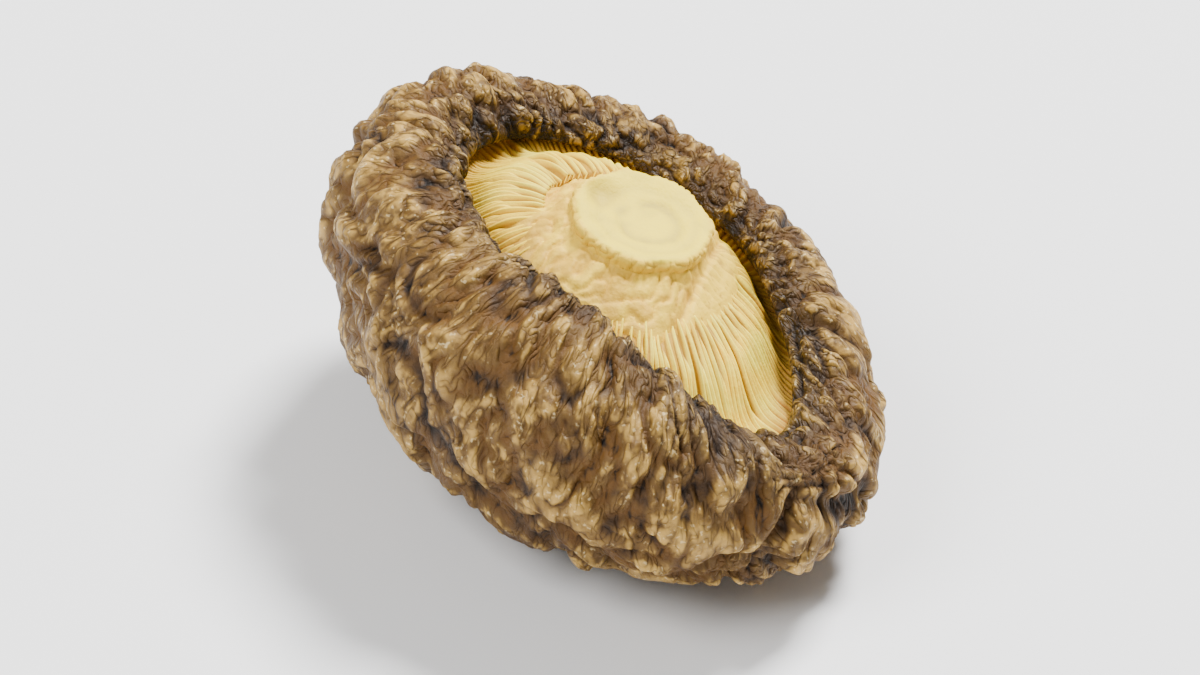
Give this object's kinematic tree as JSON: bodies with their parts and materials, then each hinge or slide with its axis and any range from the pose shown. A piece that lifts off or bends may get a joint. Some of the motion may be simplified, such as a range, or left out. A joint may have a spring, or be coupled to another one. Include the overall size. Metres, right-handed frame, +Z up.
{
  "type": "shiitake mushroom",
  "caption": "Dried mushroom with a wrinkled brown cap, a rolled rim, pale gills and a short cut stem, resting on its crown.",
  "frame": {"origin": "middle of the flat resting spot under the crown, on the surface that the mushroom rests on", "axes": "+Z up, out of the gill side; the rim leans down towards +X, and the cap's long axis runs from -X +Y to +X -Y"},
  "size_m": [0.0361, 0.0406, 0.0217],
  "materials": {
    "cap_skin": "dry, leathery wrinkled skin, dark brown in the creases and tan on the ridges",
    "gill_flesh": "dry, matt cream-yellow gill blades",
    "stem_flesh": "dry, fibrous cream flesh with a paler cut end"
  },
  "bodies": {
    "root": {"cap": "cap_skin", "gills": "gill_flesh", "stem": "stem_flesh"}
  },
  "joints": []
}
